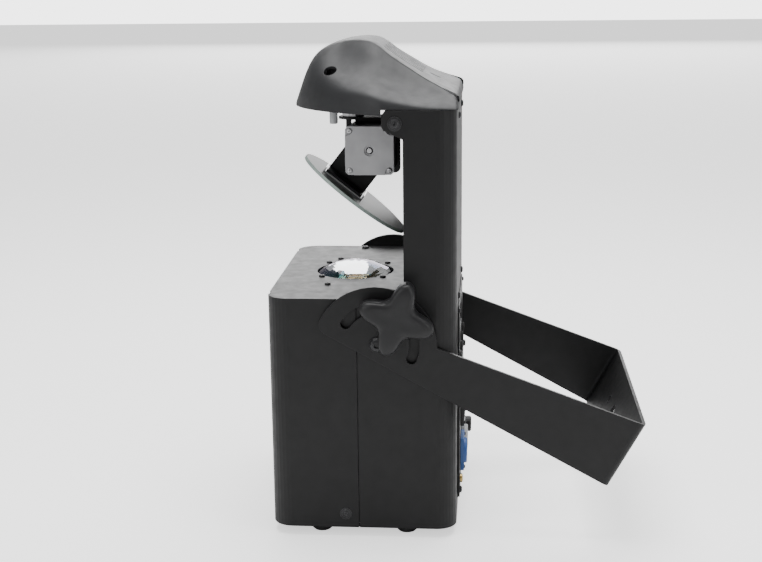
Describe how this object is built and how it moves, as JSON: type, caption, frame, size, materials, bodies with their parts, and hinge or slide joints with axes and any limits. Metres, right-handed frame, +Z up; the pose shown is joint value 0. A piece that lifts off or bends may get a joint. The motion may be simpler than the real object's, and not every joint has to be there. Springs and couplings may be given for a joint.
{
  "type": "moving-mirror stage light",
  "caption": "Scanner effect light: black sheet-steel body with an upward lens, a hooded column that carries a pan-and-tilt mirror, a clamp yoke with star knobs, and rear sockets.",
  "frame": {"origin": "on the floor, under the middle of the whole object's box with the yoke at rest", "axes": "+Z up, -Y the way the mirror faces, +Y towards the sockets and the yoke's crossbar, +X the side the tilt motor is on"},
  "size_m": [0.2768, 0.32, 0.424],
  "materials": {
    "black_paint": "satin black powder coat",
    "hood_plastic": "fine-textured dark grey",
    "black_plastic": "satin",
    "rubber": "matte",
    "steel": "plain",
    "black_steel": "blackened",
    "aluminium": "cast or bare",
    "blue_plastic": "satin",
    "grey_plastic": "satin",
    "glass": "clear",
    "mirror": "polished front, grey back",
    "board": "circuit board",
    "brass": "bare"
  },
  "bodies": {
    "housing": {"base_plate": "black_paint", "front_cover": "black_paint", "rear_shell": "black_paint", "column_front_panel": "black_paint", "hood_chassis": "black_paint", "connector_plate": "black_paint", "hood": "hood_plastic", "lens_retainer": "black_plastic", "light_tube": "black_plastic", "fan_frame": "black_plastic", "dmx_in_socket": "black_plastic", "dmx_out_socket": "black_plastic", "fuse_holder": "black_plastic", "control_panel": "black_plastic", "foot_front_right": "rubber", "foot_front_left": "rubber", "foot_rear_right": "rubber", "foot_rear_left": "rubber", "optics_frame": "steel", "gobo_motor": "steel", "colour_motor": "steel", "power_supply": "steel", "ear_screw_right": "black_steel", "ear_screw_left": "black_steel", "pan_motor": "black_steel", "pivot_bolt_right": "black_steel", "pivot_bolt_left": "black_steel", "heatsink": "aluminium", "power_in_socket": "blue_plastic", "power_out_socket": "grey_plastic", "pan_stop_post": "grey_plastic", "front_lens": "glass", "condenser_lens": "glass", "display_window": "glass", "led_board": "board", "main_board": "board", "earth_screw": "brass"},
    "pan_head": {"pan_hub": "aluminium", "pan_bracket": "black_paint", "tilt_motor": "black_steel", "tilt_motor_cap": "aluminium"},
    "mirror_head": {"tilt_shaft": "steel", "mirror_bracket": "black_paint", "mirror_tray": "aluminium", "mirror": "mirror"},
    "yoke": {"yoke": "black_paint"},
    "knob_right": {"knob_right": "black_plastic"},
    "knob_left": {"knob_left": "black_plastic"},
    "fan_rotor": {"fan_rotor": "black_plastic"},
    "gobo_wheel": {"gobo_wheel": "aluminium"},
    "colour_wheel": {"colour_wheel": "aluminium"},
    "button_menu": {"button_menu": "rubber"},
    "button_down": {"button_down": "rubber"},
    "button_up": {"button_up": "rubber"},
    "button_enter": {"button_enter": "rubber"},
    "dmx_out_latch": {"dmx_out_latch": "grey_plastic"},
    "fuse_cap": {"fuse_cap": "black_plastic"}
  },
  "joints": [
    {"name": "pan", "type": "hinge", "parent": "housing", "child": "pan_head", "pos_m": [0, -0.09435, 0.3523], "axis": [0, 0, 1], "range_deg": [-90, 90]},
    {"name": "tilt", "type": "hinge", "parent": "pan_head", "child": "mirror_head", "pos_m": [0, -0.07625, 0.3287], "axis": [1, 0, 0], "range_deg": [-30, 18]},
    {"name": "yoke_tilt", "type": "hinge", "parent": "housing", "child": "yoke", "pos_m": [0, -0.06555, 0.175], "axis": [1, 0, 0], "range_deg": [-85, 75]},
    {"name": "knob_right_turn", "type": "hinge", "parent": "housing", "child": "knob_right", "pos_m": [0, -0.04793, 0.20111], "axis": [1, 0, 0], "continuous": true},
    {"name": "knob_left_turn", "type": "hinge", "parent": "housing", "child": "knob_left", "pos_m": [0, -0.04793, 0.20111], "axis": [1, 0, 0], "continuous": true},
    {"name": "fan_spin", "type": "hinge", "parent": "housing", "child": "fan_rotor", "pos_m": [0, -0.09435, 0.014], "axis": [0, 0, 1], "continuous": true},
    {"name": "gobo_spin", "type": "hinge", "parent": "housing", "child": "gobo_wheel", "pos_m": [0.034, -0.09435, 0.122], "axis": [0, 0, 1], "continuous": true},
    {"name": "colour_spin", "type": "hinge", "parent": "housing", "child": "colour_wheel", "pos_m": [-0.034, -0.09435, 0.115], "axis": [0, 0, 1], "continuous": true},
    {"name": "button_menu_press", "type": "slide", "parent": "housing", "child": "button_menu", "axis": [0, -1, 0], "range_m": [0, 0.0012], "stiffness_N_per_m": 400},
    {"name": "button_down_press", "type": "slide", "parent": "housing", "child": "button_down", "axis": [0, -1, 0], "range_m": [0, 0.0012], "stiffness_N_per_m": 400},
    {"name": "button_up_press", "type": "slide", "parent": "housing", "child": "button_up", "axis": [0, -1, 0], "range_m": [0, 0.0012], "stiffness_N_per_m": 400},
    {"name": "button_enter_press", "type": "slide", "parent": "housing", "child": "button_enter", "axis": [0, -1, 0], "range_m": [0, 0.0012], "stiffness_N_per_m": 400},
    {"name": "dmx_latch_press", "type": "slide", "parent": "housing", "child": "dmx_out_latch", "axis": [0, -1, 0], "range_m": [0, 0.0012], "stiffness_N_per_m": 400},
    {"name": "fuse_cap_turn", "type": "hinge", "parent": "housing", "child": "fuse_cap", "pos_m": [-0.03, 0.00585, 0.056], "axis": [0, 1, 0], "range_deg": [0, 60]}
  ]
}
